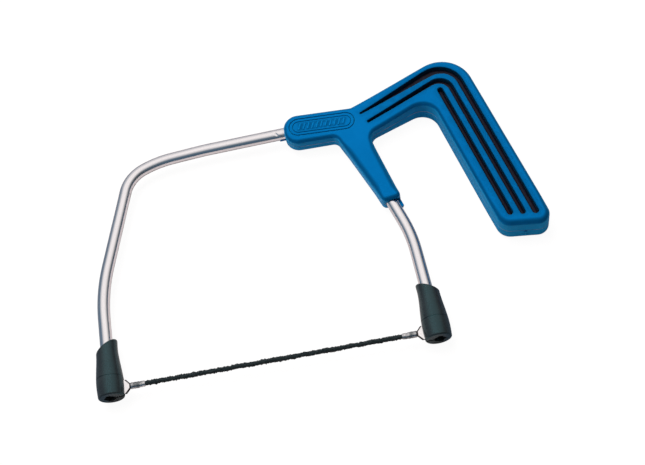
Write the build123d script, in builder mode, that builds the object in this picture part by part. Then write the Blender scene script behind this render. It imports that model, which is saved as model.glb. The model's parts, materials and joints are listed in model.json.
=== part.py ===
from build123d import *
import math
import os

os.makedirs("parts", exist_ok=True)

# Coping saw: one bent steel rod is the frame, a two-shell handle is closed over
# the rod's rear corner, and a round abrasive blade is stretched between the two
# slotted rod ends.
#
# Frame of the part, millimetres: the saw lies on the back of its handle.
#   X along the blade, from the front end to the rear end
#   Y in the plane of the saw, from the blade towards the top of the handle
#   Z up, out of the front face of the saw
# The origin is on the blade's centre line, midway between its two cross pins,
# and Z = 0 is the saw's middle plane.
# In all functions, an end is -1 at the front of the blade and +1 at the rear,
# and a side is +1 towards the front face of the saw and -1 towards its back.

# ---------------------------------------------------------------- dimensions
FIT = 0.02                # clearance of close fits, on a radius unless noted

# Frame rod and end caps
ROD_D = 6.35
ROD_FOOT_X = 81.9         # the rod's two ends, either side of the origin
ROD_BOTTOM = -2.1         # lower end of the rod, inside the caps
ROD_CHAMFER = 0.35
CAP_BOTTOM = -4.6         # lower face of the end caps
CAP_TOP = 34.0            # height of a cap along its axis, before its mouth is cut

# Blade
PIN_X = 165.0 / 2         # half the distance between the pin centres
PIN_D, PIN_L = 2.0, 6.2   # cross pins
EYE_D = 2.1               # eye in the front tab, free to turn on its pin
TAB_T = 1.0               # thickness of the end tabs
TAB_H = 3.65              # half height of the end tabs
SLOT_T = 1.3              # width of the slots that take the tabs
SLOT_TOP = 5.5            # depth of those slots above the blade's line
WIRE_D = 2.3              # abrasive rod
WIRE_INSET = 16.0         # pin centre to the abrasive rod's end
FERRULE_D = 3.4           # crimped barrel on each blade end

# Handle
GRIP_T = 17.0             # thickness of the grip
ARM_T = 10.2              # thickness of the two arms that hold the rod
RAMP_START, RAMP_END = 58.0, 118.0   # the handle thickens between these two X
EDGE_R = 2.0              # rounding of the handle's long edges
SKIN = 3.4                # thickness of the shells' faces over the core
SEAM_OVERLAP = 0.5        # start of openings and root of pegs, off the middle plane

# ------------------------------------------------------------------ outlines
# Each corner is x, y, corner radius.

# Centre line of the frame rod, from its front end to its rear end.
ROD_PATH = [
    (-ROD_FOOT_X, ROD_BOTTOM, 0), (-82.5, 53.0, 98), (-63.5, 117.5, 18.4),
    (-47.2, 123.7, 52), (-21.6, 125.5, 150), (54.6, 127.1, 15), (78.4, 53.7, 77),
    (ROD_FOOT_X, ROD_BOTTOM, 0),
]

HANDLE = [
    (22.5, 134.2, 7.6),        # end of the front arm
    (59.5, 132.0, 3.0),        # notch between the front arm and the top bar
    (120.1, 154.0, 17.9),      # outer bend
    (149.8, 42.6, 5.9),        # rear corner of the grip's foot
    (122.85, 45.8, 7.6),       # front corner of the grip's foot
    (101.2, 127.35, 9.3),      # inner bend
    (66.5, 113.9, 5.0),        # top bar into the lower arm
    (77.15, 73.9, 2.3),        # mouth of the lower arm
    (67.35, 72.3, 2.3),
    (49.4, 116.1, 4.0),        # lower arm into the front arm
    (22.5, 116.7, 7.6),
]

# Space for the core inside the top bar and the grip.
CORE = [
    (61.8, 130.1, 0.8), (118.18, 150.53, 15.8), (145.4, 47.7, 3.2),
    (124.7, 49.7, 3.0), (103.1, 131.4, 12.0), (66.0, 117.0, 0.8),
]

# Openings in the handle's faces: outer, middle and inner.
OPENINGS = (
    [(63.9, 127.3, 0.35), (116.34, 150.2, 14.5), (142.93, 49.24, 1.55),
     (139.83, 48.42, 1.55), (114.88, 143.16, 9.9), (64.3, 126.4, 0.35)],
    [(66.9, 121.6, 0.5), (112.62, 140.37, 8.2), (136.39, 50.05, 1.36),
     (133.69, 49.33, 1.36), (110.83, 136.39, 6.4), (67.4, 120.3, 0.5)],
    [(106.07, 131.09, 1.41), (108.87, 131.83, 1.41), (130.18, 50.89, 1.41),
     (127.38, 50.15, 1.41)],
)

# Badge on the front arm: its place, and its rings as length, height, line width.
BADGE = Location((43.05, 124.95, 0), (0, 0, -3.3))
BADGE_RINGS = ((35.7, 10.7, 0.7), (31.6, 7.0, 0.5))
BADGE_DEPTH = 0.4

# Pegs that locate the two shells: x, y, radius.
PEGS = ((33.0, 120.2, 1.25), (61.4, 124.5, 1.25), (131.0, 47.2, 0.9), (140.0, 46.2, 0.9))
SOCKET_GAP = 0.07         # added to a peg's radius for its socket

# Outer profile of an end cap: radius, height along its axis.
CAP_PROFILE = [
    (6.55, 0), (6.85, 4.5), (6.85, 8.5), (6.62, 11.8), (6.2, 16.0), (5.72, 20.5),
    (5.48, 25.0), (5.62, 29.0), (5.8, CAP_TOP),
]

# Blade fittings: distance in from the pin centre, distance off the blade's line.
TAB_EDGE = [(0.2, 2.38), (3.4, TAB_H), (9.0, TAB_H), (10.8, 1.3), (12.6, 1.3)]
BARREL_PROFILE = [
    (10.9, 0), (10.9, 1.5), (11.2, FERRULE_D / 2), (15.0, FERRULE_D / 2),
    (18.1, 1.45), (18.4, 1.25), (18.4, 0),
]


# ------------------------------------------------------------------- helpers
def corner_arcs(corners):
    """Start, middle and end of the arc at each corner; no middle if it is sharp."""
    arcs = []
    for i, (x, y, radius) in enumerate(corners):
        if radius == 0:
            arcs.append(((x, y), None, (x, y)))
            continue
        before_x, before_y, _ = corners[i - 1]
        after_x, after_y, _ = corners[(i + 1) % len(corners)]
        corner = Vector(x, y)
        to_before = Vector(before_x - x, before_y - y).normalized()
        to_after = Vector(after_x - x, after_y - y).normalized()
        half_angle = math.radians(to_before.get_angle(to_after)) / 2
        setback = radius / math.tan(half_angle)
        inward = (to_before + to_after).normalized()
        centre = corner + inward * (radius / math.sin(half_angle))
        arc = (corner + to_before * setback, centre - inward * radius,
               corner + to_after * setback)
        arcs.append(tuple((point.X, point.Y) for point in arc))
    return arcs


def rounded(corners, closed=True):
    """Draw a chain of straight lines joined by tangent arcs in the open BuildLine."""
    arcs = corner_arcs(corners)
    for i, (start, middle, end) in enumerate(arcs):
        if middle is not None:
            ThreePointArc(start, middle, end)
        if i < len(arcs) - 1 or closed:
            next_start = arcs[(i + 1) % len(arcs)][0]
            if (Vector(*next_start) - Vector(*end)).length > 1e-4:
                Line(end, next_start)


def rod_sweep(radius):
    """Round bar along the frame rod's centre line."""
    with BuildPart() as bar:
        with BuildLine() as path:
            rounded(ROD_PATH, closed=False)
        with BuildSketch(Plane(origin=path.line @ 0, z_dir=path.line % 0)):
            Circle(radius)
        sweep()
    return bar.part


def beyond_face(depth, side):
    """Cutter for all that lies outside the handle's face, sunk by depth.

    It is flat over the arms, rises evenly along the top bar and is flat over the grip.
    """
    arm_z = side * (ARM_T / 2 - depth)
    grip_z = side * (GRIP_T / 2 - depth)
    far_z = side * 30
    far_x = 170
    with BuildPart() as cutter:
        with BuildSketch(Plane.XZ):
            with BuildLine():
                arm_line = Line((0, arm_z), (RAMP_START, arm_z))
                grip_line = Line((RAMP_END, grip_z), (far_x, grip_z))
                Spline(arm_line @ 1, grip_line @ 0, tangents=[(1, 0), (1, 0)],
                       tangent_scalars=[1.0, 1.0])
                Line((far_x, grip_z), (far_x, far_z))
                Line((far_x, far_z), (0, far_z))
                Line((0, far_z), (0, arm_z))
            make_face()
        extrude(amount=-200)
    return cutter.part


# ----------------------------------------------------------------- frame rod
def frame_rod():
    """Bent rod with a sawn slot and a pin groove in each end."""
    sweep_part = rod_sweep(ROD_D / 2)
    groove_r = PIN_D / 2 + 0.08
    with BuildPart() as rod:
        add(sweep_part)
        chamfer(rod.edges().filter_by(GeomType.CIRCLE).group_by(Axis.Y)[0], ROD_CHAMFER)
        # sawn slots for the blade's tabs
        with BuildSketch():
            with Locations((-PIN_X, 0), (PIN_X, 0)):
                Rectangle(14, 2 * SLOT_TOP)
        extrude(amount=SLOT_T / 2, both=True, mode=Mode.SUBTRACT)
        # grooves, open and wider downwards, that seat the cross pins
        with BuildSketch():
            for x in (-PIN_X, PIN_X):
                with Locations((x, 0)):
                    Circle(groove_r)
                with BuildLine():
                    Polyline((x - groove_r, 0), (x + groove_r, 0), (x + 1.25, -3.2),
                             (x - 1.25, -3.2), close=True)
                make_face()
        extrude(amount=5, both=True, mode=Mode.SUBTRACT)
    return rod.part


# ------------------------------------------------------------------ end caps
def end_cap(end, foot_x, lean, mouth_at, mouth_slant, bore_slope):
    """Moulded sleeve over a rod end.

    foot_x and lean (degrees) place its axis, mouth_at and mouth_slant (degrees)
    the cut across its mouth; bore_slope is the bore's X per unit of Y.
    """
    foot = Vector(foot_x, CAP_BOTTOM, 0)
    up = Vector(-math.sin(math.radians(lean)), math.cos(math.radians(lean)), 0)
    slant = math.radians(mouth_slant)
    # local X is the radius; local Y points down the axis, so heights are negative
    profile_plane = Plane(origin=foot, x_dir=(0, 0, 1), z_dir=up.cross(Vector(0, 0, 1)))
    profile = [(radius, -height) for radius, height in CAP_PROFILE]
    slot_inner, slot_outer, slot_bottom = end * 70, end * 85.3, -8
    with BuildPart() as cap:
        with BuildSketch(profile_plane):
            with BuildLine():
                Line((0, 0), profile[0])
                Spline(*profile)
                Line(profile[-1], (0, -CAP_TOP))
                Line((0, -CAP_TOP), (0, 0))
            make_face()
        revolve(axis=Axis(foot, up))
        # the mouth is cut on the slant, high on the blade's side
        with BuildSketch(Plane(origin=(*mouth_at, 0),
                               z_dir=Vector(end * math.sin(slant), math.cos(slant), 0))):
            Rectangle(40, 40)
        extrude(amount=30, mode=Mode.SUBTRACT)
        fillet(cap.faces().sort_by(Axis.Y)[0].outer_wire().edges(), 0.9)
        mouth = cap.faces().filter_by(GeomType.PLANE).sort_by(Axis.Y)[-1]
        fillet(mouth.outer_wire().edges(), 0.7)
        # narrow groove round the sleeve
        with BuildSketch(profile_plane):
            with Locations((6.98, -10.1)):
                Rectangle(0.7, 0.45)
        revolve(axis=Axis(foot, up), mode=Mode.SUBTRACT)
        # bore for the rod
        with BuildSketch(Plane(origin=(end * ROD_FOOT_X, ROD_BOTTOM, 0),
                               z_dir=Vector(bore_slope, 1, 0).normalized())):
            Circle(ROD_D / 2 + FIT)
        extrude(amount=40, mode=Mode.SUBTRACT)
        # round opening below the rod's end
        with BuildSketch(Plane(origin=(end * 82.0, CAP_BOTTOM - 1, 0), z_dir=(0, 1, 0))):
            Circle(2.9)
        extrude(amount=ROD_BOTTOM - CAP_BOTTOM + 1, mode=Mode.SUBTRACT)
        # slot for the tab, open below and towards the blade
        with BuildSketch():
            with BuildLine():
                Polyline((slot_outer, slot_bottom), (slot_inner, slot_bottom),
                         (slot_inner, SLOT_TOP), (slot_outer, SLOT_TOP), close=True)
            make_face()
        extrude(amount=SLOT_T / 2, both=True, mode=Mode.SUBTRACT)
        # pocket for the cross pin, open below
        with BuildSketch():
            with Locations((end * PIN_X, -2.85)):
                Rectangle(2.5, 8.3)
        extrude(amount=3.4, both=True, mode=Mode.SUBTRACT)
    return cap.part


# ------------------------------------------------------------- handle shells
def crosses_handle(edge):
    """True for the lines across the face where the ramp meets the flats."""
    start, end = edge @ 0, edge @ 1
    return (abs(start.X - end.X) < 0.01 and abs(start.Y - end.Y) > 12
            and abs(start.Z - end.Z) < 0.01)


def shell_blank(side):
    """Solid half of the handle with its long edges rounded."""
    face_cutter = beyond_face(0.0, side)
    with BuildPart() as blank:
        with BuildSketch():
            with BuildLine():
                rounded(HANDLE)
            make_face()
        extrude(amount=side * (GRIP_T / 2 + 2))
        add(face_cutter, mode=Mode.SUBTRACT)
        outside = blank.faces().filter_by(lambda f: side * f.normal_at(f.center()).Z > 0.9)
        fillet([edge for face in outside for edge in face.outer_wire().edges()
                if not crosses_handle(edge)], EDGE_R)
    return blank.part


def core_cavity(side):
    """Half of the space that holds the core."""
    skin_cutter = beyond_face(SKIN, side)
    with BuildPart() as cavity:
        with BuildSketch():
            with BuildLine():
                rounded(CORE)
            make_face()
        extrude(amount=side * GRIP_T / 2)
        add(skin_cutter, mode=Mode.SUBTRACT)
    return cavity.part


def hollowed(blank, side, rings):
    """Blank with its cavity, rod channel, openings and sunk rings cut."""
    cavity = core_cavity(side)
    channel = rod_sweep(ROD_D / 2 + FIT)
    with BuildPart() as shell:
        add(blank)
        add(cavity, mode=Mode.SUBTRACT)
        add(channel, mode=Mode.SUBTRACT)
        # openings over the core
        with BuildSketch(Plane.XY.offset(side * SEAM_OVERLAP)):
            for opening in OPENINGS:
                with BuildLine():
                    rounded(opening)
                make_face()
        extrude(amount=side * GRIP_T, mode=Mode.SUBTRACT)
        # sunk rings on the front arm
        with BuildSketch(Plane.XY.offset(side * (ARM_T / 2 - BADGE_DEPTH))):
            with Locations(BADGE):
                for length, height, line in rings:
                    SlotOverall(length, height)
                    SlotOverall(length - 2 * line, height - 2 * line, mode=Mode.SUBTRACT)
        extrude(amount=side * (BADGE_DEPTH + 1), mode=Mode.SUBTRACT)
    return shell.part


def handle_front_shell():
    """Front half of the handle, with the badge and the locating pegs."""
    body = hollowed(shell_blank(1), 1, BADGE_RINGS)
    with BuildPart() as shell:
        add(body)
        # row of slanted ribs inside the badge's rings
        with BuildSketch(Plane.XY.offset(ARM_T / 2 - 0.05)):
            with Locations(BADGE):
                with GridLocations(2.2, 1, 11, 1):
                    RectangleRounded(0.9, 4.0, 0.4, rotation=-18)
        extrude(amount=0.35)
        # pegs that locate the other shell
        with BuildSketch(Plane.XY.offset(SEAM_OVERLAP)):
            for x, y, radius in PEGS:
                with Locations((x, y)):
                    Circle(radius)
        extrude(amount=-3.0)
    return shell.part


def back_shell_blank():
    """Blank of the back shell, with the pieces that reach past the arms' ends."""
    blank = shell_blank(-1)
    with BuildPart() as body:
        add(blank)
        # low tongue under the rod at the front arm's end
        with BuildSketch(Plane(origin=(26.0, 126.5, 0), x_dir=(0, 0, 1),
                               z_dir=(-1, -0.02, 0))):
            Circle(3.75)
            with Locations((4.0, 0)):
                Rectangle(10.0, 12.0, mode=Mode.SUBTRACT)
        extrude(amount=6.5)
        # half collar on the rear side of the rod at the lower arm's end
        with BuildSketch(Plane(origin=(71.0, 76.5, 0), x_dir=(0.9512, 0.3085, 0),
                               z_dir=(0.3085, -0.9512, 0))):
            Circle(4.6)
            with Locations((-4.4, 0)):
                Rectangle(4.0, 12.0, mode=Mode.SUBTRACT)
        extrude(amount=6.4)
        # trim both at the middle plane
        with BuildSketch():
            with Locations((70, 100)):
                Rectangle(200, 140)
        extrude(amount=20, mode=Mode.SUBTRACT)
    return body.part


def handle_back_shell():
    """Back half of the handle, with one plain ring and the pegs' sockets."""
    body = hollowed(back_shell_blank(), -1, BADGE_RINGS[:1])
    with BuildPart() as shell:
        add(body)
        # sockets for the locating pegs
        with BuildSketch():
            for x, y, radius in PEGS:
                with Locations((x, y)):
                    Circle(radius + SOCKET_GAP)
        extrude(amount=-2.8, mode=Mode.SUBTRACT)
        # trimmed moulding gate on the grip's foot
        with BuildSketch(Plane.XY.offset(-0.3)):
            with Locations((134.9, 44.3)):
                Rectangle(1.3, 1.2, rotation=-7)
        extrude(amount=-5.0)
    return shell.part


# ----------------------------------------------------------------- grip core
def core_layer(outlines, gap, depth):
    """Outlines shrunk by gap and filled up to depth below both handle faces."""
    cutters = [beyond_face(depth, side) for side in (1, -1)]
    with BuildPart() as layer:
        with BuildSketch():
            for outline in outlines:
                with BuildLine():
                    rounded(outline)
                make_face()
            offset(amount=-gap, mode=Mode.REPLACE)
        extrude(amount=GRIP_T / 2, both=True)
        for cutter in cutters:
            add(cutter, mode=Mode.SUBTRACT)
    return layer.part


def grip_core():
    """Core seen through the openings, with a low bead standing in each of them."""
    body = core_layer([CORE], gap=0.12, depth=SKIN + 0.15)
    beads = core_layer(OPENINGS, gap=0.25, depth=SKIN - 0.9)
    with BuildPart() as core:
        add(body)
        add(beads)
    return core.part


# --------------------------------------------------------------------- blade
def blade_wire():
    """Round abrasive rod between the two fittings."""
    half_length = PIN_X - WIRE_INSET
    with BuildPart() as wire:
        with BuildSketch(Plane.YZ.offset(-half_length)):
            Circle(WIRE_D / 2)
        extrude(amount=2 * half_length)
        chamfer(wire.edges(), 0.2)
    return wire.part


def blade_fitting(end, eye_d):
    """Flat tab with a round eye, and the barrel crimped on the blade's end."""
    upper_edge = [(end * (PIN_X - inset), y) for inset, y in TAB_EDGE]
    lower_edge = [(x, -y) for x, y in reversed(upper_edge)]
    barrel = [(end * (PIN_X - inset), y) for inset, y in BARREL_PROFILE]
    bore_mouth = 19.0         # from the pin centre, clear of the barrel's end
    crimps = [(end * (PIN_X - inset), z) for z in (2.55, -2.55) for inset in (12.4, 14.6)]
    with BuildPart() as fitting:
        with BuildSketch():
            with Locations((end * PIN_X, 0)):
                Circle(2.4)
            with BuildLine():
                Polyline(*upper_edge, *lower_edge, close=True)
            make_face()
            with Locations((end * PIN_X, 0)):
                Circle(eye_d / 2, mode=Mode.SUBTRACT)
        extrude(amount=TAB_T / 2, both=True)
        # barrel, tapered towards the blade
        with BuildSketch():
            with BuildLine():
                Polyline(*barrel, close=True)
            make_face()
        revolve(axis=Axis((0, 0, 0), (1, 0, 0)))
        # blind bore over the blade's end
        with BuildSketch(Plane(origin=(end * (PIN_X - bore_mouth), 0, 0), z_dir=(end, 0, 0))):
            Circle(WIRE_D / 2 + FIT)
        extrude(amount=bore_mouth - WIRE_INSET + 0.1, mode=Mode.SUBTRACT)
        # crimp marks on both faces of the barrel
        with BuildSketch(Plane.XZ.offset(4)):
            with Locations(*crimps):
                Circle(1.1)
        extrude(amount=-8, mode=Mode.SUBTRACT)
    return fitting.part


def cross_pin(end):
    """Short dowel through the eye of a tab."""
    with BuildPart() as pin:
        with BuildSketch(Plane.XY.offset(-PIN_L / 2)):
            with Locations((end * PIN_X, 0)):
                Circle(PIN_D / 2)
        extrude(amount=PIN_L)
        chamfer(pin.edges().filter_by(GeomType.CIRCLE), 0.2)
    return pin.part


# -------------------------------------------------------------------- export
PIECES = {
    "frame_rod": frame_rod(),
    "front_end_cap": end_cap(-1, foot_x=-81.45, lean=1.6, mouth_at=(-82.3, 22.7),
                             mouth_slant=33.4, bore_slope=-0.6 / 55.5),
    "rear_end_cap": end_cap(1, foot_x=81.52, lean=1.3, mouth_at=(80.75, 23.1),
                            mouth_slant=25.0, bore_slope=-3.5 / 56.2),
    "handle_front_shell": handle_front_shell(),
    "handle_back_shell": handle_back_shell(),
    "grip_core": grip_core(),
    "blade_wire": blade_wire(),
    "front_blade_fitting": blade_fitting(-1, EYE_D),
    "rear_blade_fitting": blade_fitting(1, PIN_D + FIT),   # here FIT is on the diameter
    "front_blade_pin": cross_pin(-1),
    "rear_blade_pin": cross_pin(1),
}

for name, piece in PIECES.items():
    piece.label = name
    export_step(piece, f"parts/{name}.step")
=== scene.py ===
"""A small bow saw: a bent steel rod frame, a two-shell blue handle and a grit-covered wire blade.

The saw lies flat in XY with its thickness along Z. The blade runs along X at y = 0, with its
front end at -X and the grip at +X. The front shell is the half above z = 0, the back shell the
half below. Geometry is worked out in millimetres, shader coordinates are in metres.
"""

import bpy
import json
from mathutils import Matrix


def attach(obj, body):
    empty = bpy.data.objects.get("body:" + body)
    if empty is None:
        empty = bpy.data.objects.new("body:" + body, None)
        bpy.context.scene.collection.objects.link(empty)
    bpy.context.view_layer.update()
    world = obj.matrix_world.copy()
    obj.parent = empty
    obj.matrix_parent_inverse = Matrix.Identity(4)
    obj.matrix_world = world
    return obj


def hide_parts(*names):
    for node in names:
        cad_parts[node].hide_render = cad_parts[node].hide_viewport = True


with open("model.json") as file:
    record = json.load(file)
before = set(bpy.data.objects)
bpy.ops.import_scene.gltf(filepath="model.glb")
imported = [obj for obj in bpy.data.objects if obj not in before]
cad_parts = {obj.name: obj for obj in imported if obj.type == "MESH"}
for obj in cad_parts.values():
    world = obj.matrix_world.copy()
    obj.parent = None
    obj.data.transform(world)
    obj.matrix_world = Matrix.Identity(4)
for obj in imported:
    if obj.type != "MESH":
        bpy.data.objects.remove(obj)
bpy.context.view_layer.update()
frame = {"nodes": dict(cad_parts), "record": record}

import json
import math
from collections import Counter

import bmesh
import bpy
import numpy as np
from mathutils import Matrix, Vector, noise
from mathutils.geometry import delaunay_2d_cdt

scene = bpy.context.scene
scene.view_settings.view_transform = "Standard"
scene.view_settings.look = "None"

# ------------------------------------------------- shared dimensions, millimetres
MM = 0.001
GRIP_HALF = 8.5         # half thickness of the grip
ARM_HALF = 5.1          # half thickness of the arms
SWELL_X = (58.0, 118.0)  # the handle thickens from arm to grip between these
EDGE_RADIUS = 2.0
WALL = 3.4              # shell thickness over the core
CORE_CLEARANCE = 0.15
ROD_RADIUS = 3.175
PIN_X = 82.5            # the blade pins stand at x = -PIN_X and +PIN_X, y = 0

# Outlines as (x, y, corner radius)
HANDLE = [
    (22.5, 134.2, 7.6), (59.5, 132.0, 3.0), (120.1, 154.0, 17.9), (149.8, 42.6, 5.9),
    (122.85, 45.8, 7.6), (101.2, 127.35, 9.3), (66.5, 113.9, 5.0), (77.15, 73.9, 2.3),
    (67.45, 72.9, 2.6), (49.4, 116.1, 4.0), (22.5, 116.7, 7.6),
]
CORE = [
    (61.8, 130.1, 0.8), (118.18, 150.53, 15.8), (145.4, 47.7, 3.2), (124.7, 49.7, 3.0),
    (103.1, 131.4, 12.0), (66.0, 117.0, 0.8),
]
SLOTS = [
    [(63.9, 127.3, 0.35), (116.34, 150.2, 14.5), (142.93, 49.24, 1.55),
     (139.83, 48.42, 1.55), (114.88, 143.16, 9.9), (64.3, 126.4, 0.35)],
    [(66.9, 121.6, 0.5), (112.62, 140.37, 8.2), (136.39, 50.05, 1.36),
     (133.69, 49.33, 1.36), (110.83, 136.39, 6.4), (67.4, 120.3, 0.5)],
    [(106.07, 131.09, 1.41), (108.87, 131.83, 1.41), (130.18, 50.89, 1.41),
     (127.38, 50.15, 1.41)],
]
ROD_PATH = [
    (-81.9, -2.1, 0), (-82.5, 53.0, 98), (-63.5, 117.5, 18.4), (-47.2, 123.7, 52),
    (-21.6, 125.5, 150), (54.6, 127.1, 15), (78.4, 53.7, 77), (81.9, -2.1, 0),
]


# ------------------------------------------------------------------ shader nodes
class Nodes:
    """A node tree with short helpers, most of which return an output socket."""

    def __init__(self, tree):
        self.tree = tree

    def feed(self, socket, value):
        """Link a socket, or set a plain value; colours are given without alpha."""
        if isinstance(value, bpy.types.NodeSocket):
            self.tree.links.new(value, socket)
        elif socket.type == "RGBA":
            socket.default_value = (*value, 1)
        else:
            socket.default_value = value

    def add(self, kind, **inputs):
        node = self.tree.nodes.new(kind)
        for name, value in inputs.items():
            self.feed(node.inputs[name], value)
        return node

    def ramp(self, source, *stops):
        """Colour ramp; stops are (position, colour)."""
        node = self.add("ShaderNodeValToRGB", Fac=source)
        elements = node.color_ramp.elements
        while len(elements) < len(stops):
            elements.new(0.5)
        for element, (position, colour) in zip(elements, stops):
            element.position = position
            element.color = (*colour, 1)
        return node.outputs["Color"]

    def remap(self, source, span, to=(0.0, 1.0)):
        """Map the range span onto the range to."""
        limits = {"From Min": span[0], "From Max": span[1], "To Min": to[0], "To Max": to[1]}
        return self.add("ShaderNodeMapRange", Value=source, **limits).outputs["Result"]

    def mix(self, base, over, amount):
        node = self.add("ShaderNodeMix")
        node.data_type = "RGBA"
        for i, value in ((0, amount), (6, base), (7, over)):
            self.feed(node.inputs[i], value)
        return node.outputs[2]

    def mix_shaders(self, first, second, amount):
        node = self.add("ShaderNodeMixShader", Fac=amount)
        self.feed(node.inputs[1], first)
        self.feed(node.inputs[2], second)
        return node.outputs[0]

    def operate(self, kind, operation, *values):
        node = self.add(kind)
        node.operation = operation
        for socket, value in zip(node.inputs, values):
            self.feed(socket, value)
        return node.outputs[0]

    def math(self, operation, first, second=0.0):
        return self.operate("ShaderNodeMath", operation, first, second, 0.0)

    def coords(self, scale=(1, 1, 1), source="Object"):
        texture = self.add("ShaderNodeTexCoord").outputs[source]
        return self.add("ShaderNodeMapping", Vector=texture, Scale=scale).outputs["Vector"]

    def axes(self, vector):
        return self.add("ShaderNodeSeparateXYZ", Vector=vector).outputs

    def normal(self):
        return self.add("ShaderNodeNewGeometry").outputs["Normal"]

    def leaning(self, lean=0.65):
        """Normal leaned outwards with distance from the middle, as under a nearby lamp."""
        normal = self.normal()
        outward = self.coords((lean, lean, 0.0))
        total = self.operate("ShaderNodeVectorMath", "ADD", normal, outward)
        return self.operate("ShaderNodeVectorMath", "NORMALIZE", total)

    def band(self, value, low, high, soft):
        """1 between low and high, falling to 0 over soft on either side."""
        rise = self.remap(value, (low - soft, low))
        fall = self.remap(value, (high, high + soft), to=(1.0, 0.0))
        return self.math("MULTIPLY", rise, fall)

    def noise(self, vector, scale, detail, rough, distortion=0.0):
        return self.add("ShaderNodeTexNoise", Vector=vector, Scale=scale, Detail=detail,
                        Roughness=rough, Distortion=distortion).outputs["Fac"]

    def cells(self, vector, scale):
        return self.add("ShaderNodeTexVoronoi", Vector=vector, Scale=scale).outputs["Distance"]

    def bump(self, height, strength, distance, **base):
        """Bump normal; Normal=... stacks it on another one."""
        return self.add("ShaderNodeBump", Height=height, Strength=strength,
                        Distance=distance, **base).outputs["Normal"]


class Material(Nodes):
    """A new material whose Principled shader is set through surface()."""

    def __init__(self, name):
        self.material = bpy.data.materials.new(name)
        self.material.use_nodes = True
        super().__init__(self.material.node_tree)
        self.principled = self.tree.nodes["Principled BSDF"]

    def surface(self, values):
        for name, value in values.items():
            self.feed(self.principled.inputs[name], value)


# -------------------------------------------------------------------- materials
def blue_plastic():
    mat = Material("blue_moulded_plastic")
    place = mat.coords()
    cloud = mat.noise(place, scale=26.0, detail=3.0, rough=0.5)
    mottle = mat.noise(place, scale=320.0, detail=4.0, rough=0.6)
    grain = mat.noise(place, scale=2800.0, detail=2.0, rough=0.6)
    scuffs = mat.noise(mat.coords((420.0, 34.0, 200.0)), scale=1.0, detail=3.0, rough=0.7,
                       distortion=0.6)
    base = mat.ramp(cloud, (0.30, (0.0004, 0.118, 0.332)), (0.70, (0.0008, 0.140, 0.392)))
    base = mat.mix(base, over=(0.003, 0.175, 0.455),
                   amount=mat.remap(mottle, (0.35, 0.75), to=(0.0, 0.14)))
    # painted highlight: a broken pale line along the rounded edge where the two halves meet
    line = mat.band(mat.axes(place)["Z"], low=-0.00034, high=-0.00010, soft=0.00007)
    breaks = mat.noise(place, scale=95.0, detail=2.0, rough=0.6)
    broken = mat.remap(breaks, (0.36, 0.62), to=(0.12, 0.85))
    base = mat.mix(base, over=(0.42, 0.50, 0.66), amount=mat.math("MULTIPLY", line, broken))
    base = mat.mix(base, over=(0.05, 0.21, 0.46),
                   amount=mat.remap(scuffs, (0.70, 0.80), to=(0.0, 0.22)))
    # painted sheen: surfaces seen at a steep angle are tinted lighter teal, standing in for
    # grazing reflection
    painted_sheen = mat.add("ShaderNodeLayerWeight", Blend=0.5).outputs["Facing"]
    base = mat.mix(base, over=(0.008, 0.315, 0.65),
                   amount=mat.remap(painted_sheen, (0.25, 0.58), to=(0.0, 0.85)))
    # painted shade: darker in the slots, grooves, rib feet and along the rounded edges, where
    # shadow falls
    shade = mat.add("ShaderNodeAttribute")
    shade.attribute_name = "shade"
    painted_shade = mat.math("MULTIPLY", shade.outputs["Fac"],
                    mat.remap(mottle, (0.3, 0.7), to=(0.92, 1.04)))
    base = mat.mix(base, over=(0.0009, 0.016, 0.040),
                   amount=mat.remap(painted_shade, (0.0, 1.0), to=(0.0, 0.90)))
    fine = mat.bump(grain, strength=0.22, distance=0.00006)
    mat.surface({
        "Base Color": base,
        "Roughness": mat.remap(mottle, (0.3, 0.7), to=(0.30, 0.44)),
        "Specular IOR Level": 0.05,
        "Specular Tint": (0.05, 0.75, 1.0),
        "Normal": mat.bump(scuffs, strength=0.05, distance=0.0001, Normal=fine),
    })
    return mat.material


def steel():
    mat = Material("drawn_steel")
    along = mat.coords((2.2, 46.0, 1.0), source="UV")
    hair = mat.coords((9.0, 170.0, 1.0), source="UV")
    place = mat.coords()
    streak = mat.noise(along, scale=1.0, detail=3.0, rough=0.6)
    fine = mat.noise(hair, scale=1.0, detail=2.0, rough=0.6)
    cloud = mat.noise(place, scale=60.0, detail=3.0, rough=0.6)
    base = mat.ramp(streak, (0.28, (0.76, 0.73, 0.735)), (0.72, (0.88, 0.855, 0.86)))
    specks = mat.cells(place, scale=620.0)
    base = mat.mix(base, over=(0.16, 0.15, 0.15),
                   amount=mat.remap(specks, (0.05, 0.12), to=(0.35, 0.0)))
    roughness = mat.math("ADD", mat.remap(streak, (0.3, 0.7), to=(0.12, 0.21)),
                         mat.remap(cloud, (0.35, 0.7), to=(0.0, 0.06)))
    streaked = mat.bump(streak, strength=0.12, distance=0.00008, Normal=mat.leaning())
    mat.surface({
        "Base Color": base,
        "Metallic": 1.0,
        "Roughness": roughness,
        "Normal": mat.bump(fine, strength=0.10, distance=0.00004, Normal=streaked),
    })
    return mat.material


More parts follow.
